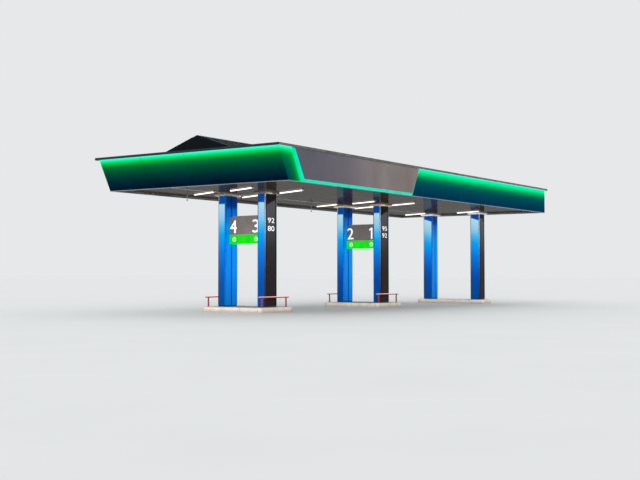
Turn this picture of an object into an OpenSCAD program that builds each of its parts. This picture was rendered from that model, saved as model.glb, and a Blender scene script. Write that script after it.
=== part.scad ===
// Filling station canopy: a flat-edged roof on three pairs of clad columns,
// standing on kerbed islands, with numbered boards between the paired columns.
// X runs across the drive lanes, Y along them, and the sign faces -Y.

/* [Roof] */
// Length of the roof across the lanes, at the top of the fascia
roof_l = 22000; // [20000:100:26000]
// Depth of the roof along the lanes
roof_w = 8100; // [7400:100:10000]
// Height of the fascia's foot above the ground
clearance_h = 4500; // [4000:50:5500]
// Height of the fascia
fascia_h = 1100; // [900:20:1400]
// How far the left fascia leans inwards at its foot
left_lean = 560; // [300:20:700]
// Thickness of a fascia cassette
fascia_t = 45; // [30:5:70]
// Width of one fascia cassette
cassette_w = 2110; // [1500:10:3000]
// Slope of the gable roof behind the fascia, in degrees
roof_pitch = 19; // [12:1:22]
// Distance from the fascia's top edge to the gable end
gable_inset = 720; // [640:10:1200]
// Thickness of the roof sheet
sheet_t = 30; // [20:5:50]

/* [Coping] */
// Thickness of the coping plate
coping_t = 60; // [40:5:90]
// How far the coping stands out beyond the fascia
coping_over = 110; // [95:5:160]
// How far the coping reaches in behind the fascia
coping_in = 130; // [90:10:200]
// Depth of the drip lip under the coping's edge
lip_h = 25; // [15:5:40]

/* [Soffit] */
// How far the soffit lies above the fascia's foot
soffit_in = 60; // [30:5:120]
// Thickness of the soffit planks
soffit_t = 40; // [25:5:60]
// Width of one soffit plank
plank_w = 300; // [200:20:400]
// Distance of the long joint strip from the roof's centre line
strip_y = 1750; // [1000:10:2500]
// Width of the long joint strip
strip_w = 60; // [40:5:100]
// Width of the edge angle under the fascia
edge_w = 70; // [60:5:74]
// Thickness of the edge angle
edge_t = 20; // [12:2:30]
// Length of a soffit light
lamp_l = 1680; // [1200:20:1760]
// Width of a soffit light
lamp_w = 100; // [80:5:140]
// Turn of the soffit lights from the lane direction, in degrees
lamp_turn = 23; // [0:1:45]

/* [Columns] */
// Distance from the roof's left end to the centre of the first pair
left_over = 5000; // [4000:100:6000]
// Spacing from the first pair to the second
bay_ab = 8420; // [7600:20:8800]
// Distance from the centre of the end pair to the roof's right end
right_over = 480; // [476:2:1200]
// Width of a pump column across the lanes
col_w = 740; // [600:10:900]
// Depth of a pump column along the lanes
col_d = 370; // [320:10:450]
// Width of an end column across the lanes
end_col_w = 600; // [500:10:760]
// Depth of an end column along the lanes
end_col_d = 510; // [400:10:600]
// Spacing of the two columns in a pump pair
pair_gap = 1930; // [1700:10:2300]
// Spacing of the two columns in the end pair
end_gap = 2680; // [2300:20:3000]
// Offset of the column pairs from the roof's centre line
pair_y = 1145; // [800:5:1300]
// Offset of the end pair from the roof's centre line
end_y = 700; // [500:10:1000]
// Size of the aluminium corner trim
trim = 45; // [38:1:70]
// Width of the dark reveal beside the panel on a column's outer face
reveal = 70; // [30:5:100]
// Width of the shadow groove in the inner faces
groove_w = 60; // [30:5:90]
// Height of the collar under the soffit
collar_h = 70; // [40:5:150]
// How far the collar stands out around the column
collar_out = 100; // [50:5:102]

/* [Islands] */
// Width of a pump island
island_w = 2060; // [1400:20:2400]
// Width of the end island
end_island_w = 960; // [760:20:1400]
// How far an island runs on past the columns
island_end = 290; // [250:10:700]
// Height of the islands
island_h = 195; // [120:5:250]
// Width of the kerb
kerb_w = 120; // [80:10:180]
// Size of the chamfer along the kerb's top edge
kerb_chamfer = 22; // [10:1:35]
// Radius of the island's corners
island_r = 130; // [60:10:250]
// Height of the guard rail above the ground
rail_h = 605; // [500:5:900]
// Diameter of the guard rail tube
rail_d = 60; // [40:2:80]
// Spacing of the guard rail posts
rail_posts = 1530; // [900:10:1700]
// Length of the guard rail's top bar
rail_l = 1900; // [1200:20:2100]

/* [Number boards] */
// Height of the lower edge of the board above the ground
board_z = 2620; // [2400:10:2900]
// Height of the lit band
band_h = 355; // [200:5:450]
// Height of the number panel
board_h = 730; // [500:10:900]
// Thickness of the board
board_t = 250; // [150:10:350]
// Height of the aluminium cap along the board's top
board_cap_h = 35; // [20:5:60]

/* [Sign] */
// Distance of the sign panel from the roof's left corner
sign_x = 830; // [700:10:1500]
// Length of the sign panel at its top
sign_l = 8300; // [6000:100:10000]
// How far the sign's ends lean inwards at the foot
sign_lean = 540; // [200:20:700]
// Width of the lit border at the sign's left end and foot
sign_border = 85; // [50:5:140]
// Width of the lit edge at the sign's right end
sign_edge = 25; // [10:5:60]
// Depth of the light box behind the sign panel
sign_box_t = 65; // [40:5:70]
// Thickness of the sign panel
sign_panel_t = 25; // [10:1:25]

/* [Hidden] */

// Clearance where one piece passes through another
fit = 5;
// Seat between pieces that rest on each other
seat = 0.3;
// Height and depth of the recessed plinth under a column's cladding
plinth_h = 50;
plinth_in = 15;
// Radius of a corner trim's outer edge
trim_r = 18;
// Thickness of the grey panel on a column's outer face, and of the sheet behind it
panel_t = 20;
backing_t = 14;
// Depth of the shadow groove
groove_d = 25;
// Lip along the collar's foot
collar_lip = 4;
collar_lip_t = 12;
// Anchor holes for a dispenser on the pump islands
anchor_x = 400;
anchor_y = 900;
anchor_r = 9;
anchor_deep = 110;
// Foot plates of the guard rails
foot_r = 54;
foot_t = 10;
// How far a board's cap stands out on each side
cap_over = 5;
// Shadow joints of the soffit planks, and the groove of the joint strip
plank_joint = 12;
strip_t = 14;
// Thickness of the edge angle's upright leg
edge_leg = 12;
// Lights: flat base, hanging lens, and end caps that stand a little proud of it
lamp_base = 12;
lens_w = 84;
lens_h = 36;
lamp_cap_l = 30;
lamp_cap_edge = 4;
// Hanging sensors, placed from the centre of a pump pair
sensor_x = -1300;
sensor_y = 1930;
sensor_l = 280;
sensor_stem = 16;
sensor_head_d = 70;
sensor_head_h = 60;
sensor_foot_d = 49;
// Shadow joints of the fascia cassettes, and the first one from the left corner
joint_w = 8;
joint_deep = 15;
first_joint = 900;
end_cassettes = 4;
// How far a fascia is drawn past its corner before it is cut to the mitre
mitre_spare = 100;
// Sheet thickness at the coping's lips, and its fall towards the roof
lip_t = 12;
coping_fall = 12;
// Depth of the coping's inner lip, above the room kept free over the gutter
inner_lip_h = 15;
// Open joint at the mitres of the coping
mitre_joint = 2;
// Lit strip under the coping
line_w = 36;
line_h = 14;
line_in = 19;
// Steel column core above the soffit
core = 260;
// Space between the soffit and the steel beams
beam_gap = 20;
// Steel beam section
beam_h = 200;
beam_w = 150;
beam_web = 12;
beam_flange = 16;
// The gutters run along both eaves, with the roof sheets between them
gutter_w = 220;
gutter_h = 90;
gutter_t = 4;
// How far the foot of a roof frame reaches over the edge beam
frame_seat = 20;
edge_beam_w = gutter_w + frame_seat;
// How far a roof sheet hangs over its gutter
eave_over = 60;
// Roof frames: thickness along the roof, width of their members, and bays in each half
frame_t = 80;
frame_member = 80;
frame_bays = 3;
frame_count = 9;
gable_t = 30;
// Standing seams of the roof sheets
seam_pitch = 520;
seam_w = 20;
seam_h = 25;
seam_sunk = 1;
// Ridge cap
ridge_reach = 220;
ridge_t = 12;

half_l = roof_l / 2;
half_w = roof_w / 2;
pair_x = [-half_l + left_over, -half_l + left_over + bay_ab, half_l - right_over];
// Half width of the roof inside the fascias
inner_w = half_w - fascia_t;
soffit_z = clearance_h + soffit_in;
beam_z = soffit_z + soffit_t + beam_gap;
fascia_top = clearance_h + fascia_h;
lean_angle = atan(left_lean / fascia_h);
roof_y = inner_w - gutter_w;
gutter_z = beam_z + beam_h;
eave_z = gutter_z + gutter_h + fit + eave_over * tan(roof_pitch);
ridge_z = eave_z + roof_y * tan(roof_pitch);
roof_x0 = -half_l + gable_inset;
roof_x1 = half_l - coping_in - gable_t - 2 * fit;

// Inner face of the leaning fascia at a given height
function left_inside(z) =
    -half_l + left_lean + fascia_t / cos(lean_angle) - (z - clearance_h) * tan(lean_angle);

// Depth, width and row position of the columns in each pair
function col_size(i) = i < 2 ? [col_w, col_d] : [end_col_w, end_col_d];
function col_y(i, back) =
    i < 2 ? pair_y + (back ? 0.5 : -0.5) * pair_gap : end_y + (back ? 0.5 : -0.5) * end_gap;
function island_centre_y(i) = i < 2 ? pair_y : end_y;
function island_len(i) = (i < 2 ? pair_gap + col_d : end_gap + end_col_d) + 2 * island_end;
function island_width(i) = i < 2 ? island_w : end_island_w;

// Rectangle with rounded corners, centred, made of boxes and discs
module rounded_plan(l, w, r) {
    square([l - 2 * r, w], center = true);
    square([l, w - 2 * r], center = true);
    for (sx = [-1, 1], sy = [-1, 1])
        translate([sx * (l / 2 - r), sy * (w / 2 - r)])
            circle(r, $fn = 32);
}

// Half space on the +X side of a plane turned about Z, used to cut mitres
module mitre_cut(angle, size) {
    rotate([0, 0, angle])
        translate([0, -size, -size])
            cube([2 * size, 2 * size, 2 * size]);
}

// Islands

// Section of a kerbed block of width w: upright sides and chamfered top edges
module kerb_side(w) {
    polygon([[-w / 2, 0], [w / 2, 0], [w / 2, island_h - kerb_chamfer],
             [w / 2 - kerb_chamfer, island_h], [-w / 2 + kerb_chamfer, island_h],
             [-w / 2, island_h - kerb_chamfer]]);
}

// Block with rounded corners and a chamfer all round its top
module kerb_block(l, w) {
    rotate([90, 0, 90])
        linear_extrude(l - 2 * island_r, center = true)
            kerb_side(w);
    rotate([90, 0, 0])
        linear_extrude(w - 2 * island_r, center = true)
            kerb_side(l);
    for (sx = [-1, 1], sy = [-1, 1])
        translate([sx * (l / 2 - island_r), sy * (w / 2 - island_r), 0]) {
            cylinder(r = island_r, h = island_h - kerb_chamfer, $fn = 32);
            translate([0, 0, island_h - kerb_chamfer])
                cylinder(r1 = island_r, r2 = island_r - kerb_chamfer, h = kerb_chamfer, $fn = 32);
        }
}

module at_island(i) {
    translate([pair_x[i], island_centre_y(i), 0])
        children();
}

module slab_plan(i) {
    rounded_plan(island_width(i) - 2 * kerb_w, island_len(i) - 2 * kerb_w, island_r / 2);
}

module island_kerb(i) {
    color("#b9b6ad")
        at_island(i)
            difference() {
                kerb_block(island_width(i), island_len(i));
                translate([0, 0, -1])
                    linear_extrude(island_h + 2)
                        slab_plan(i);
            }
}

module anchor_holes() {
    for (sx = [-1, 1], sy = [-1, 1])
        translate([sx * anchor_x / 2, sy * anchor_y / 2, island_h - anchor_deep])
            cylinder(r = anchor_r, h = anchor_deep + 1, $fn = 24);
}

module island_slabs() {
    color("#a5a39b")
        for (i = [0:2])
            at_island(i)
                difference() {
                    linear_extrude(island_h)
                        slab_plan(i);
                    if (i < 2)
                        anchor_holes();
                }
}

// Guard rails across the ends of the pump islands

// Domed end of the top bar, pointing up
module rail_dome() {
    rotate_extrude($fn = 24)
        intersection() {
            circle(d = rail_d, $fn = 16);
            square(rail_d);
        }
}

module guard_rail(i, back) {
    side = back ? 1 : -1;
    rail_y = col_y(i, back) + side * (col_d / 2 + island_end / 2);
    bar_l = rail_l - rail_d;
    color("#c8281e")
        translate([pair_x[i], rail_y, 0]) {
            for (sx = [-1, 1])
                translate([sx * rail_posts / 2, 0, island_h]) {
                    cylinder(d = rail_d, h = rail_h - rail_d / 2 - island_h, $fn = 24);
                    cylinder(r = foot_r, h = foot_t, $fn = 24);
                }
            translate([-bar_l / 2, 0, rail_h - rail_d / 2])
                rotate([0, 90, 0])
                    cylinder(d = rail_d, h = bar_l, $fn = 24);
            for (sx = [-1, 1])
                translate([sx * bar_l / 2, 0, rail_h - rail_d / 2])
                    rotate([0, sx * 90, 0])
                        rail_dome();
        }
}

// Columns. A column is drawn with its outer face towards -Y and its inner face,
// with the groove, towards +Y. The columns of the back row are turned round.

module at_column(i, back) {
    translate([pair_x[i], col_y(i, back), 0])
        rotate([0, 0, back ? 180 : 0])
            children();
}

// Height of a column's cladding
clad_z = island_h + plinth_h;
clad_h = soffit_z - clad_z;

module casing_plan(size) {
    w = size[0];
    d = size[1];
    recess = panel_t + backing_t;
    difference() {
        square([w, d], center = true);
        for (sx = [-1, 1], sy = [-1, 1])
            translate([sx * (w - trim) / 2, sy * (d - trim) / 2])
                square(trim + 0.01, center = true);
        translate([0, (d - groove_d) / 2])
            square([groove_w, groove_d + 0.01], center = true);
        translate([0, -(d - recess) / 2])
            square([w, recess + 0.01], center = true);
    }
}

module column(i, back) {
    color("#1161cf")
        at_column(i, back)
            translate([0, 0, clad_z])
                linear_extrude(clad_h)
                    casing_plan(col_size(i));
}

// Square post with one rounded corner, centred
module trim_plan() {
    translate([-trim / 2, -trim / 2]) {
        square([trim - trim_r, trim]);
        square([trim, trim - trim_r]);
        translate([trim - trim_r, trim - trim_r])
            circle(trim_r, $fn = 24);
    }
}

// Mirrors a corner profile into the corner named by two signs
module into_corner(sx, sy) {
    mirror([sx < 0 ? 1 : 0, 0])
        mirror([0, sy < 0 ? 1 : 0])
            children();
}

module corner_trims() {
    color("#b4b8bb")
        for (i = [0:2], back = [false, true], sx = [-1, 1], sy = [-1, 1])
            at_column(i, back)
                translate([sx * (col_size(i)[0] - trim) / 2, sy * (col_size(i)[1] - trim) / 2, clad_z])
                    linear_extrude(clad_h)
                        into_corner(sx, sy)
                            trim_plan();
}

// Upright sheet on a column's outer face, between the corner trims
module outer_sheet(i, side_gap, depth, t) {
    w = col_size(i)[0] - 2 * trim - 2 * side_gap;
    translate([-w / 2, -col_size(i)[1] / 2 + depth, clad_z])
        cube([w, t, clad_h]);
}

module outer_panels() {
    color("#4a4543")
        for (i = [0:2], back = [false, true])
            at_column(i, back)
                outer_sheet(i, reveal, 0, panel_t);
}

module panel_backings() {
    color("#1d1c1c")
        for (i = [0:2], back = [false, true])
            at_column(i, back)
                outer_sheet(i, 0, panel_t, backing_t);
}

module column_plinths() {
    color("#2c2d2f")
        for (i = [0:2], back = [false, true])
            at_column(i, back)
                translate([-col_size(i)[0] / 2 + plinth_in, -col_size(i)[1] / 2 + plinth_in, island_h])
                    cube([col_size(i)[0] - 2 * plinth_in, col_size(i)[1] - 2 * plinth_in, plinth_h]);
}

// Ring round a column, standing out from it
module collar_plan(size, out) {
    difference() {
        square([size[0] + 2 * out, size[1] + 2 * out], center = true);
        square([size[0], size[1]], center = true);
    }
}

module column_collars() {
    color("#8d8177")
        for (i = [0:2], back = [false, true])
            at_column(i, back)
                translate([0, 0, soffit_z - collar_h]) {
                    linear_extrude(collar_h)
                        collar_plan(col_size(i), collar_out);
                    linear_extrude(collar_lip_t)
                        collar_plan(col_size(i), collar_out + collar_lip);
                }
}

module post_heads() {
    color("#7c8187")
        for (i = [0:2], back = [false, true])
            at_column(i, back)
                translate([-core / 2, -core / 2, soffit_z])
                    cube([core, core, beam_z - soffit_z]);
}

// Number boards

module between_columns(i, z, h, t) {
    y0 = col_y(i, false) + col_d / 2;
    y1 = col_y(i, true) - col_d / 2;
    translate([pair_x[i] - t / 2, y0, z])
        cube([t, y1 - y0, h]);
}

module number_boards() {
    color("#5d5552")
        for (i = [0:1])
            between_columns(i, board_z + band_h, board_h - board_cap_h, board_t);
}

module board_caps() {
    color("#b7bbbd")
        for (i = [0:1])
            between_columns(i, board_z + band_h + board_h - board_cap_h, board_cap_h,
                            board_t + 2 * cap_over);
}

module green_bands() {
    color("#08c415")
        for (i = [0:1])
            between_columns(i, board_z, band_h, board_t);
}

// Soffit

soffit_x0 = left_inside(soffit_z);
soffit_l = half_l - fascia_t - soffit_x0;

module soffit() {
    planks = floor(2 * inner_w / plank_w);
    color("#a9a5a0")
        difference() {
            translate([soffit_x0, -inner_w, soffit_z])
                cube([soffit_l, 2 * inner_w, soffit_t]);
            for (k = [1:planks])
                translate([soffit_x0 - 1, -inner_w + k * plank_w - plank_joint / 2, soffit_z - 1])
                    cube([soffit_l + 2, plank_joint, plank_joint + 1]);
            translate([soffit_x0 - 1, strip_y - strip_w / 2 - fit, soffit_z - 1])
                cube([soffit_l + 2, strip_w + 2 * fit, strip_t + 1]);
            for (i = [0:2], back = [false, true])
                translate([pair_x[i], col_y(i, back), soffit_z])
                    cube([core + 2 * fit, core + 2 * fit, 3 * soffit_t], center = true);
        }
}

// Flush aluminium strip over the long joint between two fields of planks
module soffit_strip() {
    color("#c9c9c6")
        translate([soffit_x0, strip_y - strip_w / 2, soffit_z])
            cube([soffit_l, strip_w, strip_t]);
}

// Plan of the roof at the fascia's foot, less an inset all round
module foot_plan(inset) {
    translate([-half_l + left_lean + inset, -half_w + inset])
        square([roof_l - left_lean - 2 * inset, roof_w - 2 * inset]);
}

// Angle under the fascia's foot, with an upright leg that closes the soffit's edge
module soffit_edge() {
    color("#c9c9c6") {
        translate([0, 0, clearance_h - edge_t])
            linear_extrude(edge_t)
                difference() {
                    foot_plan(0);
                    foot_plan(edge_w);
                }
        translate([0, 0, clearance_h - edge_t])
            linear_extrude(edge_t + soffit_in)
                difference() {
                    foot_plan(edge_w - edge_leg);
                    foot_plan(edge_w);
                }
    }
}

// Middles of the lights, from the centre of a pump pair and of the end pair
pump_lamps = [[-1300, 1060], [-2020, -1320], [-120, -2190], [790, 340]];
end_lamps = [[-1300, 1060], [-1410, -1970]];

function lamps(i) = i < 2 ? pump_lamps : end_lamps;

module each_lamp() {
    for (i = [0:2])
        for (place = lamps(i))
            translate([pair_x[i] + place[0], pair_y + place[1], soffit_z])
                rotate([0, 0, -lamp_turn])
                    children();
}

// Round segment under a flat base, larger all round by the edge
module lens_plan(edge) {
    half = lens_w / 2 + edge;
    deep = lens_h + edge;
    radius = (half * half + deep * deep) / (2 * deep);
    difference() {
        translate([0, radius - deep])
            circle(radius, $fn = 24);
        translate([-2 * radius, 0])
            square(4 * radius);
    }
}

module lens_run(l, y, edge) {
    translate([0, y + l / 2, -lamp_base])
        rotate([90, 0, 0])
            linear_extrude(l)
                lens_plan(edge);
}

module soffit_lamps() {
    color("#d8d8d5")
        each_lamp() {
            translate([-lamp_w / 2, -lamp_l / 2, -lamp_base])
                cube([lamp_w, lamp_l, lamp_base]);
            for (end = [-1, 1])
                lens_run(lamp_cap_l, end * (lamp_l - lamp_cap_l) / 2, lamp_cap_edge);
        }
}

module lamp_lenses() {
    color("#ffffff")
        each_lamp()
            lens_run(lamp_l - 2 * lamp_cap_l, 0, 0);
}

module soffit_sensors() {
    color("#8f9496")
        for (i = [0:1])
            translate([pair_x[i] + sensor_x, pair_y + sensor_y, soffit_z - sensor_l]) {
                cylinder(d1 = sensor_foot_d, d2 = sensor_head_d, h = sensor_head_h, $fn = 24);
                cylinder(d = sensor_stem, h = sensor_l, $fn = 24);
            }
}

// Fascia. Each side is drawn past its corners and then cut back to the mitre.

module long_fascia() {
    difference() {
        translate([0, -half_w + fascia_t, 0])
            rotate([90, 0, 0])
                linear_extrude(fascia_t)
                    translate([-half_l - mitre_spare, clearance_h])
                        square([roof_l + 2 * mitre_spare, fascia_h]);
        // Shadow joints between the cassettes
        for (x = [-half_l + first_joint : cassette_w : half_l - first_joint / 2])
            translate([x - joint_w / 2, -half_w - 1, clearance_h - 1])
                cube([joint_w, joint_deep + 1, fascia_h + 2]);
        // Mitres at the two ends
        translate([-half_l + left_lean, -half_w, clearance_h])
            rotate([0, -lean_angle, 0])
                mitre_cut(135, roof_w);
        translate([half_l, -half_w, clearance_h])
            mitre_cut(45, roof_w);
    }
}

module fascia_front() {
    color("#0d5f6e")
        long_fascia();
}

module fascia_back() {
    color("#0d5f6e")
        mirror([0, 1, 0])
            long_fascia();
}

module fascia_left() {
    color("#0d5f6e")
        difference() {
            translate([0, half_w + mitre_spare, 0])
                rotate([90, 0, 0])
                    linear_extrude(roof_w + 2 * mitre_spare)
                        polygon([[-half_l, fascia_top],
                                 [-half_l + fascia_t / cos(lean_angle), fascia_top],
                                 [-half_l + left_lean + fascia_t / cos(lean_angle), clearance_h],
                                 [-half_l + left_lean, clearance_h]]);
            for (side = [-1, 1])
                mirror([0, side > 0 ? 1 : 0, 0])
                    translate([-half_l + left_lean, -half_w, clearance_h])
                        rotate([0, -lean_angle, 0])
                            mitre_cut(-45, roof_w);
            for (k = [1:end_cassettes - 1])
                translate([-half_l + left_lean, -half_w + k * roof_w / end_cassettes, clearance_h])
                    rotate([0, -lean_angle, 0])
                        translate([-joint_deep, -joint_w / 2, -fascia_h / 2])
                            cube([2 * joint_deep, joint_w, 2 * fascia_h]);
        }
}

module fascia_right() {
    color("#0d5f6e")
        difference() {
            translate([half_l - fascia_t, -half_w - mitre_spare, clearance_h])
                cube([fascia_t, roof_w + 2 * mitre_spare, fascia_h]);
            for (side = [-1, 1])
                mirror([0, side > 0 ? 1 : 0, 0])
                    translate([half_l, -half_w, clearance_h])
                        mitre_cut(-135, roof_w);
        }
}

// Coping: a plate with a drip lip, in four mitred lengths

// Profile across the coping, with the fascia's outer face at zero and outwards to the left
module coping_profile() {
    polygon([[-coping_over, -lip_h], [-coping_over + lip_t, -lip_h], [-coping_over + lip_t, 0],
             [coping_in - lip_t, 0], [coping_in - lip_t, -inner_lip_h], [coping_in, -inner_lip_h],
             [coping_in, coping_t - coping_fall], [-coping_over, coping_t]]);
}

// A straight run of a profile along X, mitred at both ends of the roof's outline
// with an open joint
module roof_run(run_l) {
    half = run_l / 2 - mitre_joint;
    reach = coping_over + coping_in;
    intersection() {
        rotate([90, 0, 90])
            linear_extrude(run_l + 2 * reach, center = true)
                children();
        translate([0, 0, -roof_w])
            linear_extrude(2 * roof_w)
                polygon([[-half - reach, -reach], [half + reach, -reach],
                         [half - reach, reach], [-half + reach, reach]]);
    }
}

module around_roof() {
    for (side = [0, 1]) {
        mirror([0, side, 0])
            translate([0, -half_w, fascia_top])
                roof_run(roof_l)
                    children();
        mirror([side, 0, 0])
            translate([-half_l, 0, fascia_top])
                rotate([0, 0, -90])
                    roof_run(roof_w)
                        children();
    }
}

module coping() {
    color("#9a948b")
        around_roof()
            coping_profile();
}

module light_line() {
    color("#7dffe0")
        around_roof()
            translate([-line_in - line_w, -line_h])
                square([line_w, line_h]);
}

// Sign: a lit box with the bare panel in front of it

sign_x0 = -half_l + sign_x;
sign_x1 = sign_x0 + sign_l;
sign_top = fascia_top - lip_h - fit;
sign_foot = clearance_h + sign_border;

// Outline in elevation, larger at its left end, right end and foot, but not at its top
module sign_outline(left, right, foot) {
    polygon([[sign_x0 - left, sign_top], [sign_x1 + right, sign_top],
             [sign_x1 - sign_lean + right, sign_foot - foot],
             [sign_x0 + sign_lean - left, sign_foot - foot]]);
}

// Stands its child outline upright in front of y
module upright_plate(y, t) {
    translate([0, y, 0])
        rotate([90, 0, 0])
            linear_extrude(t)
                children();
}

module sign_light_box() {
    color("#35f5d0")
        upright_plate(-half_w, sign_box_t)
            sign_outline(sign_border, sign_edge, sign_border);
}

module sign_panel() {
    color("#5f5655")
        upright_plate(-half_w - sign_box_t, sign_panel_t)
            sign_outline(0, 0, 0);
}

// Steelwork between the soffit and the roof sheets

module beam_profile() {
    square([beam_w, beam_flange]);
    translate([0, beam_h - beam_flange])
        square([beam_w, beam_flange]);
    translate([(beam_w - beam_web) / 2, 0])
        square([beam_web, beam_h]);
}

module cross_beams() {
    reach = inner_w - edge_beam_w;
    color("#6f7478")
        for (i = [0:2])
            translate([pair_x[i] - beam_w / 2, reach, beam_z])
                rotate([90, 0, 0])
                    linear_extrude(2 * reach)
                        beam_profile();
}

// Plan of the edge beams' ring, with members of width w
module edge_ring(w) {
    x0 = left_inside(beam_z) + fit;
    x1 = half_l - fascia_t - fit;
    difference() {
        translate([x0, -inner_w])
            square([x1 - x0, 2 * inner_w]);
        translate([x0 + w, -inner_w + w])
            square([x1 - x0 - 2 * w, 2 * (inner_w - w)]);
    }
}

// Channel section all round: an upright web with a flange above and below
module edge_beams() {
    color("#6f7478")
        translate([0, 0, beam_z]) {
            linear_extrude(beam_h)
                edge_ring(beam_web);
            for (z = [0, beam_h - beam_flange])
                translate([0, 0, z])
                    linear_extrude(beam_flange)
                        edge_ring(edge_beam_w);
        }
}

// Trussed frames that carry the roof sheets and stand on the edge beams

module frame_plan() {
    polygon([[-roof_y, eave_z], [0, ridge_z], [roof_y, eave_z], [roof_y, gutter_z], [-roof_y, gutter_z]]);
}

// Openings between a frame's tie, rafters and upright struts
module frame_hollows() {
    drop = frame_member / cos(roof_pitch);
    tie_z = gutter_z + frame_member;
    reach = (ridge_z - drop - tie_z) / tan(roof_pitch);
    bay = reach / frame_bays;
    intersection() {
        polygon([[-reach, tie_z], [0, ridge_z - drop], [reach, tie_z]]);
        for (k = [-frame_bays : frame_bays - 1])
            translate([k * bay + frame_member / 2, tie_z])
                square([bay - frame_member, ridge_z - tie_z]);
    }
}

module roof_frames() {
    pitch = (roof_x1 - roof_x0 - frame_t) / (frame_count - 1);
    color("#8a8f93")
        for (k = [0 : frame_count - 1])
            translate([roof_x0 + k * pitch, 0, 0])
                rotate([90, 0, 90])
                    linear_extrude(frame_t)
                        difference() {
                            frame_plan();
                            frame_hollows();
                        }
}

// Roof sheets

// Section of one slope from a distance off the ridge down to the eave, lifted off the frames
module slope_plan(start, lift, t) {
    eave = roof_y + eave_over;
    fall = tan(roof_pitch);
    polygon([[-eave, ridge_z - eave * fall + lift], [-start, ridge_z - start * fall + lift],
             [-start, ridge_z - start * fall + lift + t], [-eave, ridge_z - eave * fall + lift + t]]);
}

// A length of that section along the roof
module slope_run(x, l, start, lift, t) {
    translate([x, 0, 0])
        rotate([90, 0, 90])
            linear_extrude(l)
                slope_plan(start, lift, t);
}

module roof_sheet() {
    seams = floor((roof_x1 - roof_x0 - seam_w) / seam_pitch);
    color("#3d444a") {
        slope_run(roof_x0, roof_x1 - roof_x0, 0, seat, sheet_t);
        for (k = [0:seams])
            slope_run(roof_x0 + k * seam_pitch, seam_w, ridge_reach + fit,
                      seat + sheet_t - seam_sunk, seam_h + seam_sunk);
    }
}

module roof_sheet_front() {
    roof_sheet();
}

module roof_sheet_back() {
    mirror([0, 1, 0])
        roof_sheet();
}

module ridge_cap() {
    drop = ridge_reach * tan(roof_pitch);
    color("#353b40")
        translate([roof_x0, 0, ridge_z + sheet_t + 2 * seat])
            rotate([90, 0, 90])
                linear_extrude(roof_x1 - roof_x0)
                    polygon([[-ridge_reach, -drop], [0, 0], [ridge_reach, -drop],
                             [ridge_reach, -drop + ridge_t], [0, ridge_t],
                             [-ridge_reach, -drop + ridge_t]]);
}

module gable_plan() {
    top = sheet_t + seat;
    polygon([[-roof_y, eave_z + top], [0, ridge_z + top], [roof_y, eave_z + top],
             [roof_y, gutter_z], [-roof_y, gutter_z]]);
}

module gable_ends() {
    color("#454b50")
        for (x = [roof_x0 - gable_t, roof_x1])
            translate([x, 0, 0])
                rotate([90, 0, 90])
                    linear_extrude(gable_t)
                        gable_plan();
}

module gutters() {
    run_l = roof_x1 - roof_x0;
    color("#8b8f91")
        for (side = [0, 1])
            mirror([0, side, 0])
                translate([roof_x0, -inner_w, gutter_z])
                    difference() {
                        cube([run_l, gutter_w - fit, gutter_h]);
                        translate([gutter_t, gutter_t, gutter_t])
                            cube([run_l - 2 * gutter_t, gutter_w - fit - 2 * gutter_t, gutter_h]);
                    }
}

island_kerb(0);  // island_kerb_a
island_kerb(1);  // island_kerb_b
island_kerb(2);  // island_kerb_c
island_slabs();
guard_rail(0, false);  // guard_rail_a_front
guard_rail(0, true);  // guard_rail_a_back
guard_rail(1, false);  // guard_rail_b_front
guard_rail(1, true);  // guard_rail_b_back
column(0, false);  // column_a_front
column(0, true);  // column_a_back
column(1, false);  // column_b_front
column(1, true);  // column_b_back
column(2, false);  // column_c_front
column(2, true);  // column_c_back
corner_trims();
outer_panels();
panel_backings();
column_plinths();
column_collars();
post_heads();
number_boards();
board_caps();
green_bands();
soffit();
soffit_strip();
soffit_edge();
soffit_lamps();
lamp_lenses();
soffit_sensors();
fascia_front();
fascia_back();
fascia_left();
fascia_right();
coping();
light_line();
sign_light_box();
sign_panel();
cross_beams();
edge_beams();
roof_frames();
roof_sheet_front();
roof_sheet_back();
ridge_cap();
gable_ends();
gutters();
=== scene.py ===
"""Filling station canopy: its finishes, lit numbers, kerb stones and small fixings, round the fixed
frame.

Places are in metres in the frame's own axes: X across the lanes, Y along them, Z up.
"""
import math
from collections import namedtuple

import bmesh
import bpy
from mathutils import Matrix, Vector


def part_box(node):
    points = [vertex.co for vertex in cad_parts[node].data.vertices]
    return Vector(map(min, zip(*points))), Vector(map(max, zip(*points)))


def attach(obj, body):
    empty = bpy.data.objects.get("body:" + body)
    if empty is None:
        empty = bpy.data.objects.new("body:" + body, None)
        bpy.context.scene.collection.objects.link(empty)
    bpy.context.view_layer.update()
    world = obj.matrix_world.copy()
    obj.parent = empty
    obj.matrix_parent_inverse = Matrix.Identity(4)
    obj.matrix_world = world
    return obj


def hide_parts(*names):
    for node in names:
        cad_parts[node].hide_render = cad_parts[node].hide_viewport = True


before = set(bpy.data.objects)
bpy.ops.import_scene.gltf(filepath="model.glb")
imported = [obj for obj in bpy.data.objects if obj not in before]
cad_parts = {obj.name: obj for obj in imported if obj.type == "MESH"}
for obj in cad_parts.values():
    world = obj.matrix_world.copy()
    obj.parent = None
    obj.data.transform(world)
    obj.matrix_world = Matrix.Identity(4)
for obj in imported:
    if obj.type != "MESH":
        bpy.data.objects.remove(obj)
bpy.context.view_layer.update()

# Pairs of columns, the sides of a pair, and the way that each side's outer face looks
NUMBERED_PAIRS = ("a", "b")
ALL_PAIRS = ("a", "b", "c")
SIDES = {"front": -1, "back": 1}

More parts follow.
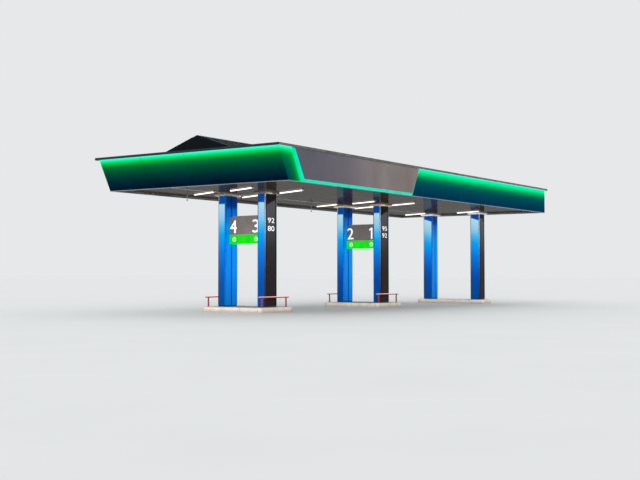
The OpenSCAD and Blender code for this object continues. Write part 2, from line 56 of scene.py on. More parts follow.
# Kerb stones: section, length, the joint between two stones, and the arc along their top edge
KERB_WIDTH = 0.12
KERB_RADIUS = 0.13
SLAB_RADIUS = 0.065
STONE_LENGTH = 0.95
MORTAR_GAP = 0.008
MORTAR_SUNK = 0.004
KERB_NOSE = 0.022
NOSE_ARC_SHARE = 0.29
CORNER_STEPS = 8

# Number boards. Places run along Y from the middle of the pair of columns, heights from the ground.
DIGITS = {"a": ("4", "3"), "b": ("2", "1")}
DIGIT_PLACES = (0.58, -0.52)
MARK_PLACES = (0.545, -0.525)
DIGIT_FOOT = 3.045
DIGIT_HEIGHT = 0.50
DIGIT_WIDTH = 0.32
DIGIT_DEPTH = 0.012
MARK_RADIUS = 0.088
MARK_POINTS = 40
DROP_HEIGHT = 0.12
DROP_WIDTH_SHARE = 0.42
DROP_SHARPNESS = 1.5
DROP_POINTS = 32
FRAME_WIDTH = 0.018
FRAME_THICKNESS = 0.003
FILM = 0.0015

# Grades on the outer panels, from the top down, and how far those panels stand out from the casing
GRADES = {"a": ("92", "80"), "b": ("95", "92")}
GRADE_TOP = 3.59
GRADE_HEIGHT = 0.19
GRADE_WIDTH = 0.41
GRADE_LINE = 0.31
PANEL_PROUD = 0.034

# Half width of the shadow groove in a column's inner face, and for the grey panels, which have
# none, an X where no panel stands
GROOVE_HALF = 0.031
NO_GROOVE = 0.0

# Edge of the collar's shadow: how far along a face it climbs, and its rise for a metre on the end
# pair and on the grey panels
SHADOW_REACH = 0.5
END_PAIR_RISE = 0.3
PANEL_RISE = 0.38

# Painted reflection of the blue casings in the corner trims: middle and half length along Y
MIRROR_MIDDLE = 1.125
MIRROR_REACH = 0.925
PAINTED_REFLECTION_BLUE = "#1078d8"

# Sign: how far its ends lean, and how deep behind its front the light strip stays dark
SIGN_LEAN = 0.54
LINE_DEPTH = 0.10

# Die lines of extrusions: 4 mm apart, coarser than real ones, to show, and their depth
DIE_LINES = 0.004
DIE_LINE_DEPTH = 0.0004

# Heads of rivets and screws. A dome is given as shares of the height and of the radius there.
HEAD_RADIUS = 0.007
HEAD_HEIGHT = 0.003
HEAD_SIDES = 8
HEAD_DOME = ((0.0, 1.0), (0.6, 0.85), (1.0, 0.45))

# Rivets of the outer panels: distance from the casing's edges, foot and top, and spacing
RIVET_INSET = 0.14
RIVET_FOOT = 0.15
RIVET_TOP = 0.35
RIVET_SPACING = 0.5

# Screws of the sign panel: distance from its foot and top, from its ends, and spacing
SIGN_SCREW_INSET = 0.05
SIGN_SCREW_END = 0.12
SIGN_SCREW_SPACING = 0.6

# Screws of the ridge cap: its sheet, their distance from its edge and ends, and spacing
CAP_SHEET = 0.012
CAP_SCREW_INSET = 0.03
CAP_SCREW_END = 0.1
CAP_SCREW_SPACING = 0.52

# Bolts of the guard rails' foot plates
BOLT_RADIUS = 0.008
BOLT_HEIGHT = 0.008
BOLT_SIDES = 6
BOLT_DOME = ((0.0, 1.0), (0.8, 1.0), (1.0, 0.85))
BOLT_CIRCLE = 0.042
BOLTS_A_PLATE = 4
FOOT_PLATE = 0.010
RAIL_POST = 0.765

# Camera: lens and sensor in mm, its place, and its tilt and turn in degrees
LENS = 59.3
SENSOR_WIDTH = 36.0
FARTHEST_SEEN = 2000.0
CAMERA_PLACE = (-38.05, -24.12, 1.383)
CAMERA_TILT = 91.95
CAMERA_TURN = -55.7

# Floor and light: half the floor's side, the sky's strength as a light and as a backdrop, and the
# soft lamps with their names, energy, and tilt and turn in degrees
FLOOR_REACH = 700.0
SKY_LIGHT = 0.78
BACKDROP = 1.0
LAMPS = (("high_lamp", 0.5, 52, -82), ("low_lamp", 1.6, 78, -58))
LAMP_SOFTNESS = 30


# Colours and nodes

Finish = namedtuple("Finish", "material tree shader place colour")


def linear(code):
    """Linear RGBA of an sRGB hex colour."""
    parts = [int(code[i:i + 2], 16) / 255 for i in (1, 3, 5)]
    return (*(c / 12.92 if c <= 0.04045 else ((c + 0.055) / 1.055) ** 2.4 for c in parts), 1.0)


def add(tree, kind, settings=None, links=None):
    """Adds one shader node with its options, input values and links.

    A hex code becomes a linear colour. "stops" are the (place, hex code) pairs of a colour ramp. A
    link names the input, by name or number, and the output or node that feeds it.
    """
    node = tree.nodes.new("ShaderNode" + kind)
    for name, value in (settings or {}).items():
        if name == "stops":
            elements = node.color_ramp.elements
            while len(elements) < len(value):
                elements.new(0.5)
            for element, (place, code) in zip(elements, value):
                element.position, element.color = place, linear(code)
        elif isinstance(name, str) and hasattr(node, name):
            setattr(node, name, value)
        else:
            node.inputs[name].default_value = linear(value) if isinstance(value, str) else value
    for name, source in (links or {}).items():
        output = source.outputs[0] if hasattr(source, "outputs") else source
        tree.links.new(output, node.inputs[name])
    return node


def surface(name, light, dark, gloss, patch, stretch=(1, 1, 1), relief=None, sockets=None):
    """Starts a finish. No real coat, casting or sheet is even, so its colour wanders between light
    and dark and its roughness over gloss, in patches of patch metres, stretched along the axes. A
    finish that is coloured right through has the same light and dark, and no colour to link. Relief
    is the width of its bumps and their height.
    """
    material = bpy.data.materials.new(name)
    material.use_nodes = True
    tree = material.node_tree
    shader = tree.nodes["Principled BSDF"]
    for socket, value in (sockets or {}).items():
        shader.inputs[socket].default_value = linear(value) if isinstance(value, str) else value
    place = add(tree, "TexCoord").outputs["Object"]
    laid = add(tree, "Mapping", {"Scale": stretch}, {"Vector": place})
    cloud = add(tree, "TexNoise", {"Scale": 1 / patch, "Detail": 4.0, "Roughness": 0.6},
                {"Vector": laid})
    colour = None
    if light == dark:
        shader.inputs["Base Color"].default_value = linear(light)
    else:
        share = add(tree, "MapRange", {"From Min": 0.35, "From Max": 0.7}, {"Value": cloud})
        colour = add(tree, "Mix", {"data_type": "RGBA", 6: light, 7: dark}, {0: share}).outputs[2]
        tree.links.new(colour, shader.inputs["Base Color"])
    rough = add(tree, "MapRange", {"From Min": 0.3, "From Max": 0.7, "To Min": gloss[0],
                                   "To Max": gloss[1]}, {"Value": cloud})
    tree.links.new(rough.outputs[0], shader.inputs["Roughness"])
    if relief:
        bumps = add(tree, "TexNoise", {"Scale": 1 / relief[0], "Detail": 2.0}, {"Vector": laid})
        raised = add(tree, "Bump", {"Distance": relief[1], "Strength": 0.5}, {"Height": bumps})
        tree.links.new(raised.outputs[0], shader.inputs["Normal"])
    return Finish(material, tree, shader, place, colour)


def axes(tree, vector):
    """X, Y and Z of a place or a direction."""
    return add(tree, "SeparateXYZ", links={0: vector}).outputs


def facing_way(tree):
    """X, Y and Z of the way in which a face looks."""
    return axes(tree, add(tree, "TexCoord").outputs["Normal"])


def share_along(finish, axis, node):
    """How far along the box of a piece of the frame a place lies, from 0 to 1."""
    start, end = (corner["XYZ".index(axis)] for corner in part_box(node))
    spot = axes(finish.tree, finish.place)
    return add(finish.tree, "MapRange", {"From Min": start, "From Max": end}, {"Value": spot[axis]})


def colour_with(finish, colour):
    """Gives a finish another base colour."""
    finish.tree.links.new(colour, finish.shader.inputs["Base Color"])
    return finish


def tinted(finish, tone):
    """Gives a finish its own colour times a tone."""
    shown = add(finish.tree, "Mix", {"data_type": "RGBA", "blend_type": "MULTIPLY", 0: 1.0},
                {6: tone, 7: finish.colour})
    return colour_with(finish, shown.outputs[2])


def glowing(finish, light, strength=1.0):
    """Makes a finish give off that light."""
    finish.tree.links.new(light, finish.shader.inputs["Emission Color"])
    finish.shader.inputs["Emission Strength"].default_value = strength
    return finish


def only_where(tree, shows, light):
    """The light where shows is 1, and none where it is 0."""
    return add(tree, "Mix", {"data_type": "RGBA", 6: "#000000"}, {0: shows, 7: light}).outputs[2]


# Finishes

# Light that the roof's lamps throw on the columns, from the foot to the soffit: pale high up,
# fading to nothing low down, with the collar's shadow at the top. One set for the faces towards the
# lanes, one for those along them, and one for the grey panels.
LAMP_LIGHT_LANES = [(0.013, "#00001a"), (0.10, "#000a4f"), (0.20, "#001464"), (0.29, "#003080"),
                    (0.38, "#004ca0"), (0.48, "#0066c0"), (0.57, "#0085d4"), (0.64, "#0098d5"),
                    (0.71, "#46add6"), (0.78, "#85c3d6"), (0.85, "#a4cbd6"), (0.905, "#a7d9d7"),
                    (0.915, "#003480"), (0.986, "#002c73")]
LAMP_LIGHT_ALONG = [(0.013, "#0060a1"), (0.10, "#0068b4"), (0.29, "#007bd1"), (0.48, "#0281d5"),
                    (0.57, "#0084d7"), (0.71, "#0084cb"), (0.82, "#0060be"), (0.86, "#0056ab"),
                    (0.89, "#00126c"), (0.95, "#000000")]
LAMP_LIGHT_PANEL = [(0.29, "#000000"), (0.38, "#0b1210"), (0.48, "#171d17"), (0.57, "#2a3035"),
                    (0.71, "#414145"), (0.85, "#4b494d"), (0.885, "#4b494d"), (0.895, "#000000")]


def lamp_washed(finish, middle, lanes, along, shadow):
    """Adds the lamps' light to the finish of the columns that stand at X = middle, by height and by
    which way the face looks. None of it reaches into the shadow groove. The collar's shadow hangs
    lowest at one corner, and is given as its axis, that corner's place on it, the distance to the
    next column and the shadow's rise for a metre.
    """
    tree = finish.tree
    low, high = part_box("column_a_front")
    spot = axes(tree, finish.place)
    axis, corner, spacing, rise = shadow
    repeated = add(tree, "Math", {"operation": "WRAP", 1: corner + spacing, 2: corner},
                   {0: spot[axis]})
    reach = add(tree, "Math", {"operation": "MINIMUM", 1: corner + SHADOW_REACH}, {0: repeated})
    level = add(tree, "Math", {"operation": "MULTIPLY_ADD", 1: -rise}, {0: reach, 2: spot["Z"]})
    lowered = rise * corner
    height = add(tree, "MapRange", {"From Min": low.z - lowered, "From Max": high.z - lowered},
                 {"Value": level})
    across = add(tree, "Math", {"operation": "SUBTRACT", 1: middle}, {0: spot["X"]})
    off_middle = add(tree, "Math", {"operation": "ABSOLUTE"}, {0: across})
    open_face = add(tree, "Math", {"operation": "GREATER_THAN", 1: GROOVE_HALF}, {0: off_middle})
    to_lanes = add(tree, "Math", {"operation": "ABSOLUTE"}, {0: facing_way(tree)["X"]})
    wash = add(tree, "Mix", {"data_type": "RGBA"}, {
        0: to_lanes, 6: add(tree, "ValToRGB", {"stops": along}, {"Fac": height}),
        7: add(tree, "ValToRGB", {"stops": lanes}, {"Fac": height})}).outputs[2]
    return glowing(finish, only_where(tree, open_face, wash))


# Light of the strip under the coping, from the fascia's top to its foot: green on the leaning end
# and round the corner to the sign, bluer on the front beyond the sign
STRIP_LIGHT = [(0.0, "#4efede"), (0.06, "#04ffae"), (0.12, "#00dc56"), (0.19, "#009e32"),
               (0.28, "#006e24"), (0.40, "#005220"), (0.55, "#00381e"), (0.72, "#002018"),
               (0.92, "#000010"), (1.0, "#00000b")]
STRIP_LIGHT_FRONT = [(0.0, "#4dfee3"), (0.05, "#00fcb9"), (0.12, "#00f391"), (0.22, "#00bc61"),
                     (0.35, "#007452"), (0.50, "#004e4c"), (0.70, "#003c4a"), (0.92, "#002f47"),
                     (1.0, "#002f50")]

# Halo of the sign's lit ends on the cassettes beside it, and its reach to the left and the right
SIGN_HALO = [(0.0, "#10f494"), (0.044, "#04dc60"), (0.089, "#00c248"), (0.144, "#00a438"),
             (0.2, "#008e2e"), (0.278, "#00792a"), (0.356, "#00692c"), (0.467, "#00592e"),
             (0.578, "#004e30"), (0.722, "#004330"), (0.889, "#003c2c"), (1.0, "#000000")]
HALO_LEFT = 0.9
HALO_RIGHT = 0.2


def beside_sign(tree, light, spot, depth):
    """The front's wash with what the sign does to it: green on its left, the halo on both sides,
    and nothing behind the sign.
    """
    low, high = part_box("sign_light_box")
    past_sign = add(tree, "Math", {"operation": "GREATER_THAN", 1: high.x - SIGN_LEAN},
                    {0: spot["X"]})
    green = add(tree, "ValToRGB", {"stops": STRIP_LIGHT}, {"Fac": depth})
    light = add(tree, "Mix", {"data_type": "RGBA"}, {0: past_sign, 6: green, 7: light}).outputs[2]
    outward = []
    for edge, way, reach in ((low.x, 1, HALO_LEFT), (high.x, -1, HALO_RIGHT)):
        lit_edge = add(tree, "Math", {"operation": "MULTIPLY_ADD", 1: way * SIGN_LEAN, 2: edge},
                       {0: depth})
        gap = add(tree, "Math", {"operation": "SUBTRACT"}, {0: lit_edge, 1: spot["X"]})
        away = add(tree, "Math", {"operation": "MULTIPLY", 1: way / reach}, {0: gap})
        outward.append(away)
        distance = add(tree, "Math", {"operation": "ABSOLUTE"}, {0: away})
        halo = add(tree, "ValToRGB", {"stops": SIGN_HALO}, {"Fac": distance})
        light = add(tree, "Mix", {"data_type": "RGBA", "blend_type": "SCREEN", 0: 1.0},
                    {6: light, 7: halo}).outputs[2]
    clear = add(tree, "Math", {"operation": "MAXIMUM"}, {0: outward[0], 1: outward[1]})
    shows = add(tree, "Math", {"operation": "GREATER_THAN", 1: 0.0}, {0: clear})
    return only_where(tree, shows, light)


def fascia_cassette(name, wash, has_sign=False):
    """Coil-coated aluminium composite, folded to cassettes: a dark blue satin film that drinks most
    of the daylight and carries the painted green light of the strip above, on its outer faces only.
    """
    made = surface(name, "#021220", "#04192b", (0.28, 0.40), 0.7, relief=(0.9, 0.004),
                   sockets={"Specular IOR Level": 0.0})
    tree = made.tree
    low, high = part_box("fascia_front")
    spot = axes(tree, made.place)
    depth = add(tree, "MapRange", {"From Min": high.z, "From Max": low.z}, {"Value": spot["Z"]})
    light = add(tree, "ValToRGB", {"stops": wash}, {"Fac": depth}).outputs[0]
    if has_sign:
        light = beside_sign(tree, light, spot, depth)
    from_middle = add(tree, "VectorMath", {"operation": "DOT_PRODUCT"},
                      {0: made.place, 1: add(tree, "TexCoord").outputs["Normal"]})
    outer = add(tree, "Math", {"operation": "GREATER_THAN", 1: 0.0},
                {0: from_middle.outputs["Value"]})
    return glowing(made, only_where(tree, outer, light))


def glossy_planks():
    """Coil-coated aluminium planks, hard gloss over warm grey: the gloss mirrors the columns, a
    little wavy along each plank.
    """
    made = surface("gloss_coated_aluminium_planks", "#463c34", "#3a322b", (0.4, 0.5), 0.9,
                   (0.35, 1, 1), (0.42, 0.003),
                   {"Specular IOR Level": 0.0, "Coat Weight": 0.17, "Coat Roughness": 0.08})
    waves = made.shader.inputs["Normal"].links[0].from_socket
    made.tree.links.new(waves, made.shader.inputs["Coat Normal"])
    return made


def column_sheet(name, light, dark, gloss):
    """Coated aluminium composite folded round a column: satin, with long shallow waves in it."""
    return surface(name, light, dark, gloss, 0.6, (1, 1, 0.45), (0.8, 0.004),
                   {"Specular IOR Level": 0.04})


def extruded_aluminium(name, light, dark, gloss, stretch):
    """Anodised or mill-finish extrusion, with die lines along its length."""
    return surface(name, light, dark, gloss, DIE_LINES, stretch, (DIE_LINES, DIE_LINE_DEPTH),
                   {"Metallic": 1.0})


# Painted lamp light in the base colour of the corner trims, from the foot to the soffit
TRIM_PAINTED_LAMP_LIGHT = [(0.0, "#362b2c"), (0.30, "#45444f"), (0.50, "#5a6a80"), (0.65, "#8298b0"),
             (0.85, "#b4c8dc"), (0.95, "#c4d4e0")]


def corner_trims():
    """Anodised corner extrusions with painted lamp light, bright up at the lamps and darker low
    down, and a painted reflection in blue where they face the casings of their pair.
    """
    made = extruded_aluminium("anodised_corner_trims", "#ffffff", "#e4e6e8", (0.22, 0.34),
                              (1, 1, 0.02))
    tree = made.tree
    # Painted lamp light: bright up at the lamps, darker low down
    painted_lamp_light = add(tree, "ValToRGB", {"stops": TRIM_PAINTED_LAMP_LIGHT},
               {"Fac": share_along(made, "Z", "column_a_front")})
    # Painted reflection of the pair's blue casings on the trims that face them
    inner = add(tree, "Math", {"operation": "COMPARE", 1: MIRROR_MIDDLE, 2: MIRROR_REACH},
                {0: axes(tree, made.place)["Y"]})
    seen = add(tree, "Mix", {"data_type": "RGBA", 7: PAINTED_REFLECTION_BLUE}, {0: inner, 6: painted_lamp_light})
    return tinted(made, seen.outputs[2])


def bronze_collars():
    """Bronze-anodised collars, with painted lamp light that grows towards the narrow island."""
    made = extruded_aluminium("bronze_anodised_collars", "#d0c6bc", "#b8aea5", (0.2, 0.3),
                              (1, 1, 0.05))
    # Painted lamp light, given as a glow that grows along X
    stops = [(0.05, "#100e12"), (0.5, "#7c6e5a"), (0.95, "#a5abb5")]
    lit = add(made.tree, "ValToRGB", {"stops": stops},
              {"Fac": share_along(made, "X", "column_collars")})
    return glowing(made, lit.outputs[0])


def coping_sheet():
    """Folded coping sheet, weathered dull; painted dark green-grey shade and light on its end."""
    made = surface("weathered_coping_sheet", "#6f6c69", "#54514e", (0.36, 0.56), 0.3,
                   relief=(0.5, 0.002), sockets={"Metallic": 0.3, "Specular IOR Level": 0.2})
    # Faces that look towards -X, where the fascia leans, get painted shade and the strip's green
    # light
    painted_end_faces = add(made.tree, "Math", {"operation": "LESS_THAN", 1: -0.5},
                 {0: facing_way(made.tree)["X"]})
    shown = add(made.tree, "Mix", {"data_type": "RGBA", 7: "#14312d"}, {0: painted_end_faces, 6: made.colour})
    return colour_with(made, shown.outputs[2])


def sign_composite():
    """Coated sign panel, satin, with painted light: cool grey by the lit end, warmer and paler
    beyond.
    """
    made = surface("warm_grey_sign_composite", "#ffffff", "#dedede", (0.3, 0.42), 1.2, (1, 1, 0.5),
                   (0.8, 0.003), {"Specular IOR Level": 0.15})
    # Painted light along the panel, cool by the lit end and paler and warmer towards the other
    stops = [(0.0, "#595862"), (0.35, "#67616a"), (0.7, "#857a77"), (1.0, "#867a75")]
    return tinted(made, add(made.tree, "ValToRGB", {"stops": stops},
                            {"Fac": share_along(made, "X", "sign_panel")}))


def lit_from_above(finish, lamplight):
    """Adds the lamps' light on the faces of a finish that look up."""
    tree = finish.tree
    up = add(tree, "MapRange", {"From Min": 0.1, "From Max": 0.55},
             {"Value": facing_way(tree)["Z"]})
    lit = add(tree, "Mix", {"data_type": "RGBA", 6: "#000000", 7: lamplight}, {0: up})
    return glowing(finish, lit.outputs[2])


def painted_steel(name, light, dark, chip, gloss, coat):
    """Brush-painted steel: slight runs, and chips through to the darker coat in small patches."""
    made = surface(name, light, dark, gloss, 0.25, relief=(0.012, 0.0008),
                   sockets={"Coat Weight": coat, "Coat Roughness": 0.12})
    tree = made.tree
    wear = add(tree, "TexNoise", {"Scale": 1 / 0.06, "Detail": 5.0, "Roughness": 0.7},
               {"Vector": made.place})
    worn = add(tree, "MapRange", {"From Min": 0.62, "From Max": 0.70, "To Max": 0.85},
               {"Value": wear})
    chipped = add(tree, "Mix", {"data_type": "RGBA", 7: chip}, {0: worn, 6: made.colour})
    return colour_with(made, chipped.outputs[2])


def cast_concrete(name, light, dark, painted_foot_shade, scuff):
    """Cast concrete: sand grain and pores, drawn at 6 and 20 mm to show, grey blotches, black
    scuffs along its sides, and a darker band at its foot, which is painted shade.
    """
    made = surface(name, light, dark, (0.78, 0.92), 0.35, sockets={"Specular IOR Level": 0.35})
    tree, place = made.tree, made.place
    grain = add(tree, "TexNoise", {"Scale": 1 / 0.006, "Detail": 4.0, "Roughness": 0.7},
                {"Vector": place})
    grained = add(tree, "Mix", {"data_type": "RGBA", "blend_type": "MULTIPLY", 7: dark}, {
        0: add(tree, "MapRange", {"From Min": 0.4, "From Max": 0.75, "To Max": 0.35},
               {"Value": grain}),
        6: made.colour})
    smear = add(tree, "TexNoise", {"Scale": 1 / 0.3, "Detail": 5.0, "Roughness": 0.65}, {
        "Vector": add(tree, "Mapping", {"Scale": (1, 1, 4)}, {"Vector": place})})
    scuffed = add(tree, "Mix", {"data_type": "RGBA", 7: scuff}, {
        0: add(tree, "MapRange", {"From Min": 0.58, "From Max": 0.72, "To Max": 0.6},
               {"Value": smear}),
        6: grained.outputs[2]})
    # Painted shade: a darker band at the foot, fading out upwards
    with_foot_shade = add(tree, "Mix", {"data_type": "RGBA", 7: painted_foot_shade}, {
        0: add(tree, "MapRange", {"From Min": 0.0, "From Max": 0.13, "To Min": 0.75, "To Max": 0.0},
               {"Value": axes(tree, place)["Z"]}),
        6: scuffed.outputs[2]})
    pores = add(tree, "TexVoronoi", {"feature": "F1", "Scale": 1 / 0.02}, {"Vector": place})
    pits = add(tree, "MapRange", {"From Max": 0.22}, {"Value": pores.outputs["Distance"]})
    rough_face = add(tree, "Math", {"operation": "MULTIPLY_ADD", 1: 0.6}, {0: grain, 2: pits})
    raised = add(tree, "Bump", {"Distance": 0.0015, "Strength": 0.5}, {"Height": rough_face})
    tree.links.new(raised.outputs[0], made.shader.inputs["Normal"])
    return colour_with(made, with_foot_shade.outputs[2])


def lit_acrylic(name, body, bright, weaker, strength, gleam=0.5):
    """Cast acrylic with lamps behind it: a smooth glow, a touch weaker between the lamps."""
    made = surface(name, body, body, (0.18, 0.26), 0.3,
                   sockets={"IOR": 1.49, "Specular IOR Level": gleam})
    lamps = add(made.tree, "TexNoise", {"Scale": 1 / 0.25, "Detail": 1.0}, {"Vector": made.place})
    lit = add(made.tree, "Mix", {"data_type": "RGBA", 6: bright, 7: weaker}, {
        0: add(made.tree, "MapRange", {"From Min": 0.35, "From Max": 0.65}, {"Value": lamps})})
    return glowing(made, lit.outputs[2], strength)


def strip_diffuser():
    """Lit silicone strip under the coping, left dark where the sign hides it."""
    strength = 1.3
    made = lit_acrylic("strip_diffuser", "#2c6f5c", "#34ffc8", "#20f8b4", strength)
    tree = made.tree
    low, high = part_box("sign_light_box")
    spot = axes(tree, made.place)
    along = add(tree, "Math", {"operation": "SUBTRACT", 1: (low.x + high.x) / 2}, {0: spot["X"]})
    off_middle = add(tree, "Math", {"operation": "ABSOLUTE"}, {0: along})
    beside = add(tree, "Math", {"operation": "GREATER_THAN", 1: (high.x - low.x) / 2},
                 {0: off_middle})
    behind = add(tree, "Math", {"operation": "GREATER_THAN", 1: low.y + LINE_DEPTH}, {0: spot["Y"]})
    shows = add(tree, "Math", {"operation": "MAXIMUM"}, {0: beside, 1: behind})
    bright = made.shader.inputs["Emission Color"].links[0].from_socket
    return glowing(made, only_where(tree, shows, bright), strength)


def galvanised_sheet():
    """Hot-dip galvanised steel: pale grey zinc spangle about 22 mm across."""
    made = surface("galvanised_sheet", "#9b9fa1", "#8d9193", (0.36, 0.52), 0.4,
                   sockets={"Metallic": 1.0})
    spangle = add(made.tree, "TexVoronoi", {"feature": "F1", "Scale": 1 / 0.022},
                  {"Vector": made.place})
    flakes = add(made.tree, "Mix", {"data_type": "RGBA", 7: "#b2b6b8"}, {
        0: add(made.tree, "MapRange", {"To Max": 0.5}, {"Value": spangle.outputs["Color"]}),
        6: made.colour})
    return colour_with(made, flakes.outputs[2])


def roof_sheet():
    """Coil-coated steel roofing: matt film with pale rain streaks down the slope."""
    return surface("slate_coated_roofing", "#0d161d", "#19222a", (0.42, 0.6), 0.12, (1, 0.08, 0.08),
                   (0.5, 0.002), {"Specular IOR Level": 0.06})


# Mesh helpers

def piece(name, builder, finish, replaced=()):
    """Makes an object from a bmesh, gives it its finish and rides it on the body."""
    mesh = bpy.data.meshes.new(name)
    builder.normal_update()
    builder.to_mesh(mesh)
    builder.free()
    made = bpy.data.objects.new(name, mesh)
    bpy.context.scene.collection.objects.link(made)
    mesh.materials.append(finish.material)
    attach(made, "root")
    if replaced:
        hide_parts(*replaced)


def facing(normal, up=(0, 0, 1)):
    """Rotation that turns a flat thing in XY to face along normal, with its top towards up."""
    z = Vector(normal).normalized()
    x = Vector(up).cross(z).normalized()
    return Matrix((x, z.cross(x), z)).transposed().to_4x4()


def circle(radius, count):
    """Points round a circle."""
    return [(radius * math.cos(2 * math.pi * k / count), radius * math.sin(2 * math.pi * k / count))
            for k in range(count)]


def prism(builder, outline, turn, centre, layers):
    """Raises a flat outline into a solid. Layers are pairs of a height in front of centre and the
    share of the outline there.
    """
    rings = [[builder.verts.new(Vector(centre) + turn @ Vector((x * share, y * share, height)))
              for x, y in outline] for height, share in layers]
    for lower, upper in zip(rings, rings[1:]):
        for k in range(len(outline)):
            after = (k + 1) % len(outline)
            builder.faces.new((lower[k], lower[after], upper[after], upper[k]))
    builder.faces.new(rings[-1])
    builder.faces.new(list(reversed(rings[0])))


def round_head(builder, centre, normal):
    """A low domed rivet or screw head."""
    up = (0, 0, 1) if abs(normal[2]) < 0.5 else (0, 1, 0)
    prism(builder, circle(HEAD_RADIUS, HEAD_SIDES), facing(normal, up), centre,
          [(share * HEAD_HEIGHT, width) for share, width in HEAD_DOME])


def spread_out(start, end, spacing):
    """Evenly spaced values from start to end, about spacing apart."""
    count = max(1, round((end - start) / spacing))
    return [start + (end - start) * k / count for k in range(count + 1)]


def figure_one(builder, height, depth, turn, centre):
    """A plain one with a slanting flag."""
    outline = [(0.0, -0.5), (0.14, -0.5), (0.14, 0.5), (0.03, 0.5), (-0.17, 0.37), (-0.17, 0.23),
               (0.0, 0.33)]
    prism(builder, [(x * height, y * height) for x, y in outline], turn, centre,
          [(0.0, 1.0), (depth, 1.0)])


def lettering(builder, text, height, width, depth, turn, centre):
    """Adds figures of that height and width, standing depth in front of centre."""
    curve = bpy.data.curves.new("lettering", "FONT")
    curve.body = text
    # Any depth will do here, because the mesh is scaled to fit below
    curve.extrude = 0.5
    holder = bpy.data.objects.new("lettering", curve)
    bpy.context.scene.collection.objects.link(holder)
    bpy.context.view_layer.update()
    drawn = holder.evaluated_get(bpy.context.evaluated_depsgraph_get())
    mesh = bpy.data.meshes.new_from_object(drawn)
    low = Vector([min(v.co[i] for v in mesh.vertices) for i in range(3)])
    high = Vector([max(v.co[i] for v in mesh.vertices) for i in range(3)])
    size = high - low
    fit = Matrix.Diagonal((width / size.x, height / size.y, depth / size.z, 1))
    middle = Vector((-(low.x + high.x) / 2, -(low.y + high.y) / 2, -low.z))
    mesh.transform(Matrix.Translation(Vector(centre)) @ turn @ fit @ Matrix.Translation(middle))
    builder.from_mesh(mesh)
    bpy.data.meshes.remove(mesh)
    bpy.data.objects.remove(holder)
    bpy.data.curves.remove(curve)


# Camera, floor and light

def make_camera():
    """The photograph's own view, worked out from the roof's edges and the columns."""
    camera = bpy.data.objects.new("camera", bpy.data.cameras.new("camera"))
    bpy.context.scene.collection.objects.link(camera)
    camera.data.sensor_width = SENSOR_WIDTH
    camera.data.lens = LENS
    camera.data.clip_end = FARTHEST_SEEN
    camera.location = CAMERA_PLACE
    camera.rotation_euler = (math.radians(CAMERA_TILT), 0.0, math.radians(CAMERA_TURN))
    bpy.context.scene.camera = camera


def make_floor():
    """A plain pale floor, wide enough to reach the horizon."""
    builder = bmesh.new()
    builder.faces.new([builder.verts.new((x * FLOOR_REACH, y * FLOOR_REACH, 0.0))
                       for x, y in ((-1, -1), (1, -1), (1, 1), (-1, 1))])
    mesh = bpy.data.meshes.new("floor")
    builder.to_mesh(mesh)
    builder.free()
    floor = bpy.data.objects.new("floor", mesh)
    bpy.context.scene.collection.objects.link(floor)
    finish = surface("pale_floor_coating", "#f2f2f0", "#efefed", (0.85, 0.95), 3.0)
    mesh.materials.append(finish.material)


def make_light():
    """Soft sky light all round and two soft lamps from the camera's left, one high and one low."""
    world = bpy.data.worlds.new("studio")
    bpy.context.scene.world = world
    world.use_nodes = True
    tree = world.node_tree
    tree.nodes.clear()
    rays = add(tree, "LightPath").outputs
    mirrored = add(tree, "Math", {"operation": "MAXIMUM"},
                   {0: rays["Is Glossy Ray"], 1: rays["Is Transmission Ray"]})
    seen = add(tree, "Math", {"operation": "MAXIMUM"}, {0: rays["Is Camera Ray"], 1: mirrored})
    soft = add(tree, "Background", {"Color": "#eef1f5", "Strength": SKY_LIGHT})
    shown = add(tree, "Background", {"Color": "#e6e8ea", "Strength": BACKDROP})
    mixed = add(tree, "MixShader", links={0: seen, 1: soft, 2: shown})
    add(tree, "OutputWorld", links={"Surface": mixed})
    for name, energy, tilt, turn in LAMPS:
        lamp = bpy.data.objects.new(name, bpy.data.lights.new(name, "SUN"))
        bpy.context.scene.collection.objects.link(lamp)
        lamp.data.energy = energy
        lamp.data.angle = math.radians(LAMP_SOFTNESS)
        lamp.rotation_euler = (math.radians(tilt), 0.0, math.radians(turn))
    bpy.context.scene.view_settings.view_transform = "Standard"


# The frame's own pieces

def pair_middle(pair):
    """Middle of a pair of columns in plan."""
    front_low, front_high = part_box(f"column_{pair}_front")
    back_low, back_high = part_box(f"column_{pair}_back")
    return Vector(((front_low.x + front_high.x) / 2, (front_low.y + back_high.y) / 2))


def dress(finish, *nodes):
    """Gives each named node the finish."""
    for name in nodes:
        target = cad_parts[name]
        target.data.materials.clear()
        target.data.materials.append(finish.material)


